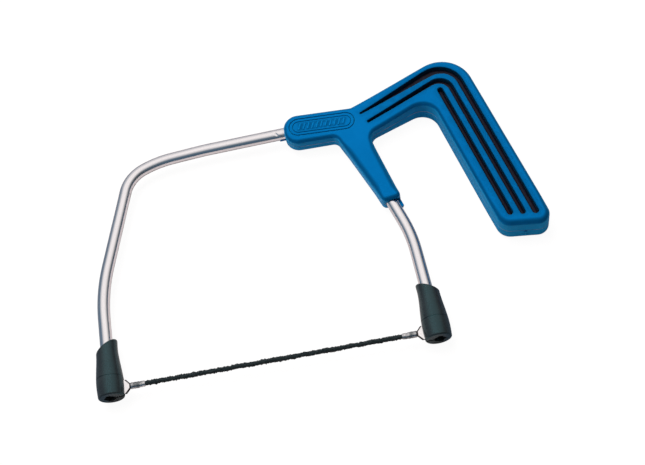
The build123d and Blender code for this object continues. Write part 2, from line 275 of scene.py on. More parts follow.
def cap_plastic():
    mat = Material("dark_cap_plastic")
    place = mat.coords()
    cloud = mat.noise(place, scale=130.0, detail=4.0, rough=0.6)
    grain = mat.noise(place, scale=2400.0, detail=3.0, rough=0.6)
    marks = mat.noise(mat.coords((1500.0, 70.0, 600.0)), scale=1.0, detail=3.0, rough=0.7,
                      distortion=0.4)
    base = mat.ramp(cloud, (0.3, (0.018, 0.0185, 0.019)), (0.75, (0.024, 0.0245, 0.025)))
    base = mat.mix(base, over=(0.05, 0.065, 0.07),
                   amount=mat.remap(marks, (0.66, 0.80), to=(0.0, 0.30)))
    # a faint step in the moulding above the pin opening
    step = mat.band(mat.axes(place)["Y"], low=0.00530, high=0.00545, soft=0.0001)
    base = mat.mix(base, over=(0.006, 0.007, 0.008), amount=step)
    grained = mat.bump(grain, strength=0.16, distance=0.00005, Normal=mat.leaning())
    mat.surface({
        "Base Color": base,
        "Roughness": mat.remap(cloud, (0.3, 0.7), to=(0.20, 0.34)),
        "Specular IOR Level": 0.50,
        "Specular Tint": (0.30, 0.98, 1.13),
        "Normal": mat.bump(marks, strength=0.06, distance=0.0001, Normal=grained),
    })
    return mat.material


def core_rubber():
    mat = Material("dark_core")
    place = mat.coords()
    grain = mat.noise(place, scale=700.0, detail=4.0, rough=0.6)
    cloud = mat.noise(place, scale=60.0, detail=3.0, rough=0.6)
    base = mat.ramp(grain, (0.3, (0.0035, 0.003, 0.007)), (0.75, (0.008, 0.0065, 0.014)))
    base = mat.mix(base, over=(0.015, 0.013, 0.021),
                   amount=mat.remap(cloud, (0.5, 0.8), to=(0.0, 0.4)))
    mat.surface({
        "Base Color": base,
        "Roughness": mat.remap(grain, (0.3, 0.7), to=(0.34, 0.52)),
        "Specular IOR Level": 0.14,
        "Normal": mat.bump(grain, strength=0.25, distance=0.0001),
    })
    return mat.material


def grit():
    mat = Material("bonded_grit")
    place = mat.coords()
    rough = mat.noise(place, scale=1500.0, detail=4.0, rough=0.7)
    grains = mat.cells(place, scale=2600.0)
    base = mat.ramp(rough, (0.28, (0.003, 0.006, 0.0065)), (0.78, (0.017, 0.027, 0.030)))
    base = mat.mix(base, over=(0.045, 0.058, 0.062),
                   amount=mat.remap(grains, (0.08, 0.30), to=(0.50, 0.0)))
    uneven = mat.bump(rough, strength=0.5, distance=0.00025)
    mat.surface({
        "Base Color": base,
        "Roughness": mat.remap(rough, (0.3, 0.7), to=(0.42, 0.68)),
        "Specular IOR Level": 0.30,
        "Normal": mat.bump(grains, strength=0.6, distance=0.00022, Normal=uneven),
    })
    return mat.material


def fitting_painted_shade(mat, x, y):
    """Mask of painted shade on the tabs towards the barrel: the sheared edge faces, the slanted
    shoulder, the outer corner and the seam at the barrel, where shadow and dark reflection fall.
    """
    facing_up = mat.math("ABSOLUTE", mat.axes(mat.normal())["Z"])
    tabs = mat.math("MULTIPLY", mat.remap(x, (0.0715, 0.0717)),
                    mat.remap(facing_up, (0.55, 0.8), to=(1.0, 0.0)))
    tabs = mat.math("MULTIPLY", tabs, mat.remap(x, (0.0765, 0.0775), to=(1.0, 0.0)))
    # distance from the tab's slanted shoulder
    slope = mat.math(
        "ADD", mat.math("MULTIPLY", mat.math("SUBTRACT", x, 0.0716), 0.749),
        mat.math("MULTIPLY", mat.math("SUBTRACT", y, 0.0013), -0.662))
    painted_shoulder_corner_shade = mat.math("MULTIPLY", mat.remap(slope, (0.00048, 0.00080), to=(1.0, 0.0)),
                     mat.band(x, low=0.0716, high=0.0742, soft=0.0003))
    seam = mat.math("MULTIPLY", mat.band(x, low=0.07138, high=0.07205, soft=0.0002),
                    mat.remap(y, (0.0014, 0.0019), to=(1.0, 0.0)))
    # distance from the tab's outer corner
    corner = mat.math("ADD", mat.math("ABSOLUTE", mat.math("SUBTRACT", x, 0.0737)),
                      mat.math("ABSOLUTE", mat.math("SUBTRACT", y, 0.0034)))
    painted_shoulder_corner_shade = mat.math("MAXIMUM", painted_shoulder_corner_shade, mat.remap(corner, (0.00045, 0.00085), to=(1.0, 0.0)))
    return mat.math("MAXIMUM", tabs, mat.math("MAXIMUM", painted_shoulder_corner_shade, seam))


def plated():
    mat = Material("plated_fitting")
    place = mat.coords()
    grain = mat.noise(place, scale=900.0, detail=4.0, rough=0.65)
    cloud = mat.noise(place, scale=330.0, detail=3.0, rough=0.6)
    base = mat.ramp(grain, (0.30, (0.74, 0.72, 0.72)), (0.70, (0.95, 0.92, 0.91)))
    x, y, _ = mat.axes(place)
    # the crimped barrels are duller and stained
    on_barrel = mat.remap(mat.math("ABSOLUTE", x), (0.0712, 0.0716), to=(1.0, 0.0))
    barrel = mat.math("MULTIPLY", on_barrel, mat.remap(cloud, (0.38, 0.58), to=(0.30, 0.88)))
    base = mat.mix(base, over=(0.15, 0.165, 0.165), amount=barrel)
    # painted shade and dark reflection on the tab edges, shoulder, corner and barrel seam
    dark = fitting_painted_shade(mat, mat.math("ABSOLUTE", x), mat.math("ABSOLUTE", y))
    uneven = mat.remap(grain, (0.25, 0.45), to=(0.75, 1.0))
    base = mat.mix(base, over=(0.020, 0.018, 0.019), amount=mat.math("MULTIPLY", dark, uneven))
    roughness = mat.math("ADD", mat.remap(grain, (0.3, 0.7), to=(0.12, 0.26)),
                         mat.math("MULTIPLY", barrel, 0.22))
    grained = mat.bump(grain, strength=0.2, distance=0.0001)
    mat.surface({
        "Base Color": base,
        "Metallic": 1.0,
        "Roughness": roughness,
        "Normal": mat.bump(cloud, strength=0.22, distance=0.00025, Normal=grained),
    })
    return mat.material


MATERIALS = {
    "blue_shell": blue_plastic(), "steel_rod": steel(), "cap_plastic": cap_plastic(),
    "dark_core": core_rubber(), "abrasive_rod": grit(), "plated_fitting": plated(),
}


def dress(obj, slot):
    obj.data.materials.clear()
    obj.data.materials.append(MATERIALS[slot])
    for material_slot in obj.material_slots:
        material_slot.material = MATERIALS[slot]


for subpart in frame["record"]["subparts"]:
    dress(frame["nodes"][subpart["node"]], subpart["material_slot"])


# ----------------------------------------------------------------- flat geometry
def clamp(value):
    return np.clip(value, 0, 1)


def ease(t):
    return t * t * (3 - 2 * t)


def half_height(points):
    """Half thickness of the handle at each point."""
    start, end = SWELL_X
    return ARM_HALF + (GRIP_HALF - ARM_HALF) * ease(clamp((points[:, 0] - start) / (end - start)))


def arc(radius, angles, x=0.0, y=0.0):
    return [(x + radius * math.cos(t), y + radius * math.sin(t)) for t in angles]


def circle(radius, count, x=0.0, y=0.0):
    return arc(radius, np.linspace(0, 2 * math.pi, count + 1)[:-1], x, y)


def doubled_area(points):
    """Twice the signed area, positive when anticlockwise."""
    return sum(points[i - 1][0] * points[i][1] - points[i][0] * points[i - 1][1]
               for i in range(len(points)))


def find_corners(points, closed):
    """(start, end, centre, turn, radius) of each corner; an open end has no centre."""
    found = []
    for i, (x, y, radius) in enumerate(points):
        corner = np.array((x, y), float)
        if not closed and i in (0, len(points) - 1):
            found.append((corner, corner, None, 0, 0))
            continue
        before = np.array(points[i - 1][:2], float) - corner
        after = np.array(points[(i + 1) % len(points)][:2], float) - corner
        before /= np.linalg.norm(before)
        after /= np.linalg.norm(after)
        half = math.acos(max(-1, min(1, before @ after))) / 2
        setback = radius / math.tan(half)
        middle = (before + after) / np.linalg.norm(before + after)
        turn = 1 if (-before[0] * after[1] + before[1] * after[0]) > 0 else -1
        found.append((corner + before * setback, corner + after * setback,
                      corner + middle * (radius / math.sin(half)), turn, radius))
    return found


def trace(points, closed=True, step=2.2, bend=7.0):
    """Points along lines and tangent arcs, with normals to the left.

    step is the longest straight piece, bend the widest arc piece in degrees.
    """
    points = list(points)
    if closed and doubled_area(points) < 0:
        points.reverse()
    found = find_corners(points, closed)
    last = len(found) - 1
    path, normals = [], []

    def put(point, normal):
        if not path or np.linalg.norm(path[-1] - point) > 1e-4:
            path.append(point)
            normals.append(normal)

    for i, (start, end, centre, turn, radius) in enumerate(found):
        if centre is not None:
            first = math.atan2(*(start - centre)[::-1])
            final = math.atan2(*(end - centre)[::-1])
            while turn > 0 and final < first:
                final += 2 * math.pi
            while turn < 0 and final > first:
                final -= 2 * math.pi
            count = max(3, math.ceil(abs(final - first) / math.radians(bend)))
            for j in range(count + 1):
                angle = first + (final - first) * j / count
                spoke = np.array((math.cos(angle), math.sin(angle)))
                put(centre + spoke * radius, -spoke * turn)
        if i == last and not closed:
            break
        target = found[(i + 1) % len(found)][0]
        line = target - end
        length = np.linalg.norm(line)
        if length > 1e-4:
            along = line / length
            normal = np.array((-along[1], along[0]))
            count = max(1, math.ceil(length / step))
            if centre is None:
                put(end, normal)
            for j in range(1, count):
                put(end + line * j / count, normal)
            if i + 1 == last and not closed:
                put(target, normal)
    if closed and np.linalg.norm(path[0] - path[-1]) < 1e-4:
        path.pop()
        normals.pop()
    return np.array(path), np.array(normals)


def distances(path):
    """Distance along a path to each of its points."""
    return np.r_[0, np.cumsum(np.linalg.norm(np.diff(path, axis=0), axis=1))]


def inside(points, ring):
    """Even-odd test of many points against one ring."""
    x, y = points[:, 0], points[:, 1]
    hit = np.zeros(len(points), bool)
    for (x0, y0), (x1, y1) in zip(ring, np.roll(ring, -1, axis=0)):
        if y0 != y1:
            hit ^= ((y0 > y) != (y1 > y)) & (x < (x1 - x0) * (y - y0) / (y1 - y0) + x0)
    return hit


def gap(points, ring):
    """Distance from each point to a closed ring."""
    best = np.full(len(points), 1e9)
    for start, end in zip(ring, np.roll(ring, -1, axis=0)):
        side = end - start
        t = clamp(((points - start) @ side) / (side @ side))
        best = np.minimum(best, np.linalg.norm(points - start - t[:, None] * side, axis=1))
    return best


def staggered_grid(low, high, step):
    columns = np.arange(low[0], high[0], step)
    rows = np.arange(low[1], high[1], step * 0.866)
    return np.array([(x + (0.5 * step if j % 2 else 0), y)
                     for j, y in enumerate(rows) for x in columns])


def edge(a, b):
    return min(a, b), max(a, b)


def edges_of(triangle):
    a, b, c = triangle
    return edge(a, b), edge(b, c), edge(c, a)


def drop_slivers(triangles, points, names, rim):
    """Drop flat triangles between points of one straight side, which lie outside it."""
    uses = Counter(e for t in triangles for e in edges_of(t))
    slivers = set()
    for i, triangle in enumerate(triangles):
        (ax, ay), (bx, by), (cx, cy) = points[triangle]
        if abs((bx - ax) * (cy - ay) - (cx - ax) * (by - ay)) < 2e-3:
            slivers.add(i)
    gone, moved = set(), True
    while moved:
        moved = False
        for i in slivers - gone:
            sides = edges_of(triangles[i])
            if any(uses[a, b] == 1 and edge(names[a], names[b]) not in rim for a, b in sides):
                gone.add(i)
                moved = True
                uses.subtract(sides)
    return [t for i, t in enumerate(triangles) if i not in gone]


# ----------------------------------------------------------------- mesh building
class MeshBuilder:
    """Vertices, faces and painted shade gathered ring by ring, in millimetres."""

    def __init__(self):
        self.vertices, self.faces, self.shade = [], [], []

    def points(self, xyz, shade=0.0):
        first = len(self.vertices)
        self.vertices += [tuple(float(c) for c in p) for p in xyz]
        self.shade += [float(s) for s in np.broadcast_to(shade, (len(xyz),))]
        return list(range(first, len(self.vertices)))

    def ring(self, xy, z, shade=0.0):
        return self.points(np.c_[xy, np.broadcast_to(z, (len(xy),))], shade)

    def face(self, loop, flip=False):
        self.faces.append(tuple(loop[::-1] if flip else loop))

    def loft(self, rings, flip=False):
        """Quads between each ring and the next."""
        for low, high in zip(rings, rings[1:]):
            for i in range(len(low)):
                j = (i + 1) % len(low)
                self.face((low[i], low[j], high[j], high[i]), flip)

    def fill(self, outer, holes=(), height=None, step=0, margin=0.8, flip=False):
        """Triangles between an outer ring and holes; a step spreads points inside."""
        loops = [outer, *holes]
        names = [i for loop in loops for i in loop]
        xy = np.array([self.vertices[i][:2] for i in names])
        edges = []
        for loop in loops:
            first = len(edges)
            edges += [(first + i, first + (i + 1) % len(loop)) for i in range(len(loop))]
        rim = {edge(names[a], names[b]) for a, b in edges}
        rings = [np.array([self.vertices[i][:2] for i in loop]) for loop in loops]

        def within(points):
            keep = inside(points, rings[0])
            for hole in rings[1:]:
                keep &= ~inside(points, hole)
            return keep

        if step:
            spread = staggered_grid(xy.min(0), xy.max(0), step)
            clear = np.all([gap(spread, ring) > margin for ring in rings], axis=0)
            spread = spread[within(spread) & clear]
            names += self.points(np.c_[spread, height(spread)])
            xy = np.r_[xy, spread]
        flat, _, triangles, origins, _, _ = delaunay_2d_cdt(
            [Vector(p) for p in xy], edges, [], 0, 1e-6, True)
        names = [names[origin[0]] for origin in origins]
        flat = np.array([(p.x, p.y) for p in flat])
        triangles = np.array([t for t in triangles if len(t) == 3])
        triangles = triangles[within(flat[triangles].mean(1))].tolist()
        for triangle in drop_slivers(triangles, flat, names, rim):
            self.face([names[i] for i in triangle], flip)

    def object(self, name, mirror=False):
        """The finished object in metres; mirror turns it over in z."""
        mesh = bpy.data.meshes.new(name)
        vertices = np.array(self.vertices) * MM
        faces = self.faces
        if mirror:
            vertices[:, 2] *= -1
            faces = [f[::-1] for f in faces]
        mesh.from_pydata(vertices.tolist(), [], faces)
        if any(self.shade):
            shade = mesh.attributes.new("shade", "FLOAT", "POINT")
            shade.data.foreach_set("value", self.shade)
        mesh.validate()
        mesh.update()
        obj = bpy.data.objects.new(name, mesh)
        scene.collection.objects.link(obj)
        return obj


def face_outwards(obj):
    bm = bmesh.new()
    bm.from_mesh(obj.data)
    bmesh.ops.recalc_face_normals(bm, faces=bm.faces)
    bm.to_mesh(obj.data)
    bm.free()
    return obj


def lofted(name, rows):
    """Closed solid through rows of points."""
    build = MeshBuilder()
    rings = [build.points(row) for row in rows]
    build.loft(rings)
    build.face(rings[0], flip=True)
    build.face(rings[-1])
    return face_outwards(build.object(name))


def unwrap_tube(obj, travelled, sides):
    """U runs along the tube, 0.01 per millimetre; V runs once around it."""
    bm = bmesh.new()
    bm.from_mesh(obj.data)
    layer = bm.loops.layers.uv.new("UVMap")
    for face in bm.faces:
        around = [loop.vert.index % sides for loop in face.loops]
        wraps = max(around) - min(around) > sides / 2
        for loop, turn in zip(face.loops, around):
            row = loop.vert.index // sides
            full = sides if wraps and turn < sides / 2 else 0
            loop[layer].uv = (travelled[row] * 0.01, (turn + full) / sides)
    bm.to_mesh(obj.data)
    bm.free()


def tube(name, path, normals, radius, sides, shape=None, end_chamfer=0.0, uv=True):
    """Tube along a flat path; shape(distance, angles) returns a radius change."""
    travelled = distances(path)
    # angle 0 points along the flat normal, a quarter turn points up
    angles = np.arange(sides) * 2 * math.pi / sides
    rows = []
    for i, (point, normal) in enumerate(zip(path, normals)):
        chamfer = end_chamfer if i in (0, len(path) - 1) else 0.0
        radii = np.full(sides, radius - chamfer)
        if shape is not None:
            radii = radii + shape(travelled[i], angles)
        rows.append(np.c_[point[0] + normal[0] * np.cos(angles) * radii,
                          point[1] + normal[1] * np.cos(angles) * radii,
                          np.sin(angles) * radii])
    obj = lofted(name, rows)
    if uv:
        unwrap_tube(obj, travelled, sides)
    return obj


def prism(name, polygon, origin, across, up, along, length):
    """A polygon in the plane of across and up, pushed along the third direction."""
    origin, across, up, along = (np.array(c, float) for c in (origin, across, up, along))
    near = np.array([origin + across * a + up * b for a, b in polygon])
    return lofted(name, (near, near + along * length))


def boolean(target, tool, operation="DIFFERENCE"):
    """Apply a boolean to the target and remove the tool."""
    modifier = target.modifiers.new("cut", "BOOLEAN")
    modifier.operation = operation
    modifier.object = tool
    modifier.solver = "EXACT"
    depsgraph = bpy.context.evaluated_depsgraph_get()
    result = bpy.data.meshes.new_from_object(target.evaluated_get(depsgraph))
    target.modifiers.clear()
    old = target.data
    target.data = result
    bpy.data.meshes.remove(old)
    bpy.data.objects.remove(tool)


def smooth(obj, angle, weighted=False):
    for polygon in obj.data.polygons:
        polygon.use_smooth = True
    obj.data.set_sharp_from_angle(angle=math.radians(angle))
    if weighted:
        modifier = obj.modifiers.new("shading", "WEIGHTED_NORMAL")
        modifier.keep_sharp = True
        modifier.weight = 60


def finish_piece(obj, body, slot, node, angle, weighted=False):
    smooth(obj, angle, weighted)
    dress(obj, slot)
    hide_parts(node)
    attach(obj, body)


# ---------------------------------------------------------------- handle shells
# (inset, height) of the rings that round the parting edge
PARTING_EDGE = ((0.26, 0.0), (0.10, 0.07), (0.02, 0.20), (0.0, 0.38))
# (degrees, painted shade) over the rounded outer edge, and over the lip of a slot
OUTER_EDGE = ((0, 0), (11, 0.05), (22, 0.2), (33, 0.45), (45, 0.62), (56, 0.66), (67, 0.55),
              (78, 0.3), (90, 0))
SLOT_LIP = ((0, 0.25), (30, 0.6), (60, 0.9), (90, 1.0))
LIP_RADIUS = 0.42

BADGE_CENTRE = np.array((43.05, 124.95))
BADGE_ANGLE = math.radians(-3.3)
GROOVES = [(35.7, 10.7, 0.75), (31.7, 7.1, 0.55)]   # length, height, groove width
# (share of the width, depth, painted shade) across a groove
GROOVE_PROFILE = ((0.0, 0.0, 0.0), (0.14, 0.09, 0.4), (0.36, 0.42, 0.75),
                  (0.64, 0.42, 0.75), (0.86, 0.09, 0.4), (1.0, 0.0, 0.0))
RIB_COUNT, RIB_PITCH = 11, 2.35
RIB_LENGTH, RIB_WIDTH = 4.0, 0.95
RIB_ANGLE = math.radians(-18.0)
# (width, height, painted shade) up a rib
RIB_PROFILE = ((RIB_WIDTH, 0.0, 0.5), (0.86, 0.17, 0.35), (0.62, 0.29, 0.0), (0.30, 0.33, 0.0))

# rod direction at the lower arm's mouth, and the direction across it
MOUTH_AXIS = (0.3085, -0.9512, 0.0)
MOUTH_SIDE = (-MOUTH_AXIS[1], MOUTH_AXIS[0], 0.0)


def rotate(x, y, angle):
    cos, sin = math.cos(angle), math.sin(angle)
    return np.c_[x * cos - y * sin, x * sin + y * cos]


def stadium(length, height):
    """Badge outline with round ends, placed on the handle."""
    radius, half = height / 2, (length - height) / 2
    angles = np.linspace(-math.pi / 2, math.pi / 2, 13)
    right = np.c_[half + radius * np.cos(angles), radius * np.sin(angles)]
    line = np.linspace(half, -half, 15)[1:-1]
    top = np.c_[line, np.full(len(line), radius)]
    outline = np.r_[right, top, -right, -top]
    return BADGE_CENTRE + rotate(outline[:, 0], outline[:, 1], BADGE_ANGLE)


def rib(x, width):
    """Slanted rib outline at x along the badge, placed on the handle."""
    radius = width / 2
    half = (RIB_LENGTH - (RIB_WIDTH - width) - width) / 2
    angles = np.linspace(0, math.pi, 6)
    end = np.c_[radius * np.cos(angles), half + radius * np.sin(angles)]
    outline = np.r_[end, -end]
    slanted = rotate(outline[:, 0], outline[:, 1], RIB_ANGLE)
    return BADGE_CENTRE + rotate(x + slanted[:, 0], slanted[:, 1], BADGE_ANGLE)


def outer_wall(build):
    """The shell's side; returns its rings at the parting face and at the top face."""
    path, normals = trace(HANDLE)
    x, y = path[:, 0], path[:, 1]
    # the lower arm and the foot of the grip have rounder edges than the rest
    arm = ease(clamp((112.5 - y) / 9.0) * clamp((y - 75.5) / 6.0) * (x < 84) * (x > 45))
    foot = ease(clamp((62.0 - y) / 16.0) * (x > 110))
    radius = EDGE_RADIUS + 1.3 * arm + 0.9 * foot
    rings = [build.ring(path + normals * inset, z) for inset, z in PARTING_EDGE]
    low = PARTING_EDGE[-1][1]
    top = half_height(path) - radius
    rings.append(build.ring(path, low + (top - low) * 0.5))
    for degrees, painted_shade in OUTER_EDGE:
        angle = math.radians(degrees)
        outline = path + normals * (radius * (1 - math.cos(angle)))[:, None]
        z = half_height(outline) - radius + radius * math.sin(angle)
        rings.append(build.ring(outline, z, painted_shade))
    build.loft(rings)
    return rings[0], rings[-1]


def slot_wall(build, slot):
    """One slot through the shell; returns its rings at the face and at the ceiling."""
    outline, normals = trace(slot, bend=14)
    rings = []
    for degrees, painted_shade in SLOT_LIP:
        angle = math.radians(degrees)
        lip = outline - normals * (LIP_RADIUS * (1 - math.sin(angle)))
        rings.append(build.ring(lip, half_height(lip) - LIP_RADIUS * (1 - math.cos(angle)), painted_shade))
    # the slot walls below the lip carry full painted shade
    for depth in (1.1, WALL):
        rings.append(build.ring(outline, half_height(outline) - depth, 1.0))
    build.loft(rings)
    return rings[0], rings[-1]


def badge(build, ribbed):
    """Two grooves around slanted ribs, or one plain groove; returns the outermost ring."""
    border = plateau = None
    for length, height, width in GROOVES if ribbed else GROOVES[:1]:
        rings = []
        for share, depth, painted_shade in GROOVE_PROFILE:
            inset = 2 * width * share
            outline = stadium(length - inset, height - inset)
            rings.append(build.ring(outline, half_height(outline) - depth, painted_shade))
        if border is None:
            border = rings[0]
        else:
            build.fill(plateau, [rings[0]])
        build.loft(rings)
        plateau = rings[-1]
    if not ribbed:
        build.fill(plateau, height=half_height, step=2.4)
        return border
    feet = []
    for i in range(RIB_COUNT):
        rings = []
        for width, rise, painted_shade in RIB_PROFILE:
            outline = rib((i - RIB_COUNT // 2) * RIB_PITCH, width)
            rings.append(build.ring(outline, half_height(outline) + rise, painted_shade))
        build.loft(rings)
        build.face(rings[-1])
        feet.append(rings[0])
    build.fill(plateau, feet, half_height, step=1.6, margin=0.5)
    return border


def shell(name, front):
    """Half of the handle; the back one is built face up and turned over."""
    build = MeshBuilder()
    parting, face = outer_wall(build)
    mouths, floors = zip(*[slot_wall(build, slot) for slot in SLOTS])
    border = badge(build, ribbed=front)
    build.fill(face, [*mouths, border], half_height, step=2.8)
    # inside: ceiling over the core, cavity wall, parting face
    outline, _ = trace(CORE, bend=10)
    ceiling = build.ring(outline, half_height(outline) - WALL)
    build.fill(ceiling, floors, lambda points: half_height(points) - WALL, step=4.0, flip=True)
    cavity = build.ring(outline, 0.0)
    build.loft([ceiling, cavity])
    build.fill(parting, [cavity], flip=True)
    return build.object(name, mirror=not front)


def rod_channel():
    path, normals = trace(ROD_PATH, closed=False, step=5.0, bend=4.0)
    return tube("channel", path, normals, ROD_RADIUS + 0.03, sides=44, uv=False)


def build_shells():
    front = shell("front_shell", front=True)
    back = shell("back_shell", front=False)

    # the front shell's mouth is opened wider than the rod
    boolean(front, prism("arch", circle(4.15, 40, x=0.75, y=-0.25), origin=(70.2, 79.0, 0),
                         across=MOUTH_SIDE, up=(0, 0, 1), along=MOUTH_AXIS, length=12.0))

    # tongue under the rod at the handle's -X end
    half_turn = arc(3.75, np.linspace(math.pi, 2 * math.pi, 25))
    tongue = [(-3.61, -1.0), *[p for p in half_turn if p[1] < -1.0], (3.61, -1.0)]
    boolean(back, prism("tongue", tongue, origin=(26.0, 126.5, 0), across=(0, 1, 0),
                        up=(0, 0, 1), along=(-1, -0.02, 0), length=6.5), "UNION")

    # part collar beside the rod at the lower arm's mouth
    sweep = arc(4.6, np.linspace(math.radians(238), 2 * math.pi, 22))
    collar = [(-2.43, -0.02), *sweep[:-1], (4.6, -0.02)]
    boolean(back, prism("collar", collar, origin=(71.0, 76.5, 0), across=MOUTH_SIDE,
                        up=(0, 0, 1), along=MOUTH_AXIS, length=7.2), "UNION")

    # trimmed moulding gate at the foot of the grip
    cos, sin = math.cos(math.radians(-7)), math.sin(math.radians(-7))
    gate = [(-0.55, 0.6), (-0.65, -0.45), (-0.45, -0.6), (0.45, -0.6), (0.65, -0.45), (0.55, 0.6)]
    boolean(back, prism("gate", gate, origin=(134.9, 44.3, -0.5), across=(cos, sin, 0),
                        up=(-sin, cos, 0), along=(0, 0, -1), length=4.4), "UNION")
    for obj in (front, back):
        boolean(obj, rod_channel())
    finish_piece(front, "frame", "blue_shell", "handle_front_shell", angle=32, weighted=True)
    finish_piece(back, "frame", "blue_shell", "handle_back_shell", angle=32, weighted=True)


# ------------------------------------------------------------------------- core
SLOT_CLEARANCE = 0.18
BULGE_HEIGHT, BULGE_REACH = 1.05, 1.15      # rounded pads that rise into the slots


def build_core():
    build = MeshBuilder()
    path, normals = trace(CORE, bend=10)
    path = path + normals * CORE_CLEARANCE
    pads = []
    for slot in SLOTS:
        outline, inward = trace(slot, step=1.6, bend=14)
        pads.append(outline + inward * SLOT_CLEARANCE)

    def flat(points):
        return half_height(points) - (WALL + CORE_CLEARANCE)

    def bulged(points):
        z = flat(points)
        for pad in pads:
            depth = np.where(inside(points, pad), gap(points, pad), 0)
            rise = 1 - (1 - clamp(depth / BULGE_REACH)) ** 2
            z = z + BULGE_HEIGHT * np.sqrt(clamp(rise))
        return z

    borders = []
    for side in (1, -1):
        flip = side < 0
        border = build.ring(path, side * flat(path))
        borders.append(border)
        rings = [build.ring(pad, side * flat(pad)) for pad in pads]
        build.fill(border, rings, lambda points: side * flat(points), step=5.0, flip=flip)
        for ring in rings:
            build.fill(ring, height=lambda points: side * bulged(points), step=0.42,
                       margin=0.10, flip=flip)
    build.loft(borders, flip=True)
    finish_piece(build.object("core"), "frame", "dark_core", "grip_core", angle=60)


# -------------------------------------------------------------------------- rod
NICK_X = 17.3           # place of the nick on the rod's top run, just before the handle
ROD_CHAMFER = 0.35
KERF_HALF = 0.65        # half width of the slit in each rod end
# (x, y) of the pin seat cut across each rod end
PIN_SEAT = [(-1.25, -4), (1.25, -4), (1.12, 0), (0.80, 0.80), (0, 1.13), (-0.80, 0.80),
            (-1.12, 0)]


def build_rod():
    path, normals = trace(ROD_PATH, closed=False, step=1.5, bend=2.0)
    travelled = distances(path)
    on_lower_part = path[:, 1] < 100
    nick = travelled[np.argmin(np.abs(path[:, 0] - NICK_X) + on_lower_part * 1e3)]
    # finer rows at the nick, and a row behind each end chamfer
    rows = np.sort(np.r_[travelled, np.arange(nick - 4, nick + 5, 0.3),
                         [ROD_CHAMFER, travelled[-1] - ROD_CHAMFER]])
    rows = rows[np.r_[True, np.diff(rows) > 0.12]]
    path = np.c_[tuple(np.interp(rows, travelled, path[:, i]) for i in (0, 1))]
    normals = np.c_[tuple(np.interp(rows, travelled, normals[:, i]) for i in (0, 1))]
    normals /= np.linalg.norm(normals, axis=1)[:, None]

    def shape(distance, angles):
        def dent(depth, offset, length, angle, width, slant=0.0):
            along = (distance - nick - offset - slant * (angles - angle)) / length
            return depth * np.exp(-along ** 2 - ((angles - angle) / width) ** 2)

        wave = np.sin(distance * 0.21 + 1.3 * np.sin(distance * 0.05))
        return (0.018 * wave * np.cos(angles * 2 + distance * 0.02)
                - dent(depth=0.42, offset=0.0, length=0.55, angle=1.9, width=0.34, slant=1.6)
                - dent(depth=0.16, offset=3.4, length=0.45, angle=2.0, width=0.9))

    rod = tube("rod", path, normals, ROD_RADIUS - 0.01, sides=56, shape=shape,
               end_chamfer=ROD_CHAMFER)
    kerf = [(-8, -KERF_HALF), (8, -KERF_HALF), (8, KERF_HALF), (-8, KERF_HALF)]
    for side in (-1, 1):
        boolean(rod, prism("kerf", kerf, origin=(side * PIN_X, -6, 0), across=(1, 0, 0),
                           up=(0, 0, 1), along=(0, 1, 0), length=11.5))
        boolean(rod, prism("seat", PIN_SEAT, origin=(side * PIN_X, 0, -6), across=(1, 0, 0),
                           up=(0, 1, 0), along=(0, 0, 1), length=12.0))
    finish_piece(rod, "frame", "steel_rod", "frame_rod", angle=40)


# ------------------------------------------------------------------------ blade
WIRE_HALF_LENGTH = 66.5
BARE_END, FADE_IN = 2.2, 1.5        # the grit starts here and grows over this length
GRIT_SEED = 31.7


def lumps(x, y, z):
    """Irregular height of the bonded grit."""
    point = Vector((x + GRIT_SEED, y, z))
    low = (noise.noise(point * 0.42) * 0.24
           + noise.noise(point * 1.15 + Vector((9, 3, 5))) * 0.28)
    middle = max(0.0, noise.noise(point * 1.9 + Vector((4, 1, 7)))) * 0.62
    fine = noise.noise(point * 4.0) * 0.16
    return low + middle + fine


def build_wire():
    x = np.arange(-WIRE_HALF_LENGTH, WIRE_HALF_LENGTH + 0.01, 0.26)
    sample_radius = 1.06

    def shape(distance, angles):
        from_end = min(distance, 2 * WIRE_HALF_LENGTH - distance)
        amount = min(1.0, max(0.0, (from_end - BARE_END) / FADE_IN))
        return amount * np.array([
            lumps(distance - WIRE_HALF_LENGTH, sample_radius * math.cos(t),
                  sample_radius * math.sin(t)) for t in angles])

    wire = tube("wire", np.c_[x, 0 * x], np.tile((0.0, 1.0), (len(x), 1)), 1.10, sides=26,
                shape=shape)
    finish_piece(wire, "blade", "abrasive_rod", "blade_wire", angle=80)


# Blade ends: distances are measured from the pin towards the middle of the blade.
# (distance, radius) along the barrel
BARREL = [(10.9, 1.30), (11.05, 1.52), (11.35, 1.66), (12.2, 1.70), (15.0, 1.68), (16.6, 1.55),
          (18.0, 1.44), (18.3, 1.36), (18.4, 1.22)]
CRIMPS = ((12.6, 0.5, 0.17), (14.2, 0.42, 0.13), (15.7, 0.5, 0.15))    # distance, width, depth
# (distance, half width) along the tab, from inside the barrel to its nose
TAB_SIDE = [(12.4, 1.3), (10.9, 1.3), (9.0, 3.45), (8.6, 3.65), (3.6, 3.65), (1.0, 2.75)]
NOSE_RADIUS = 2.4
# (outline inset, eye widening, z) through the tab's thickness
TAB_LAYERS = ((0.14, 0.08, -0.5), (0.0, 0.0, -0.36), (0.0, 0.0, 0.36), (0.14, 0.08, 0.5))


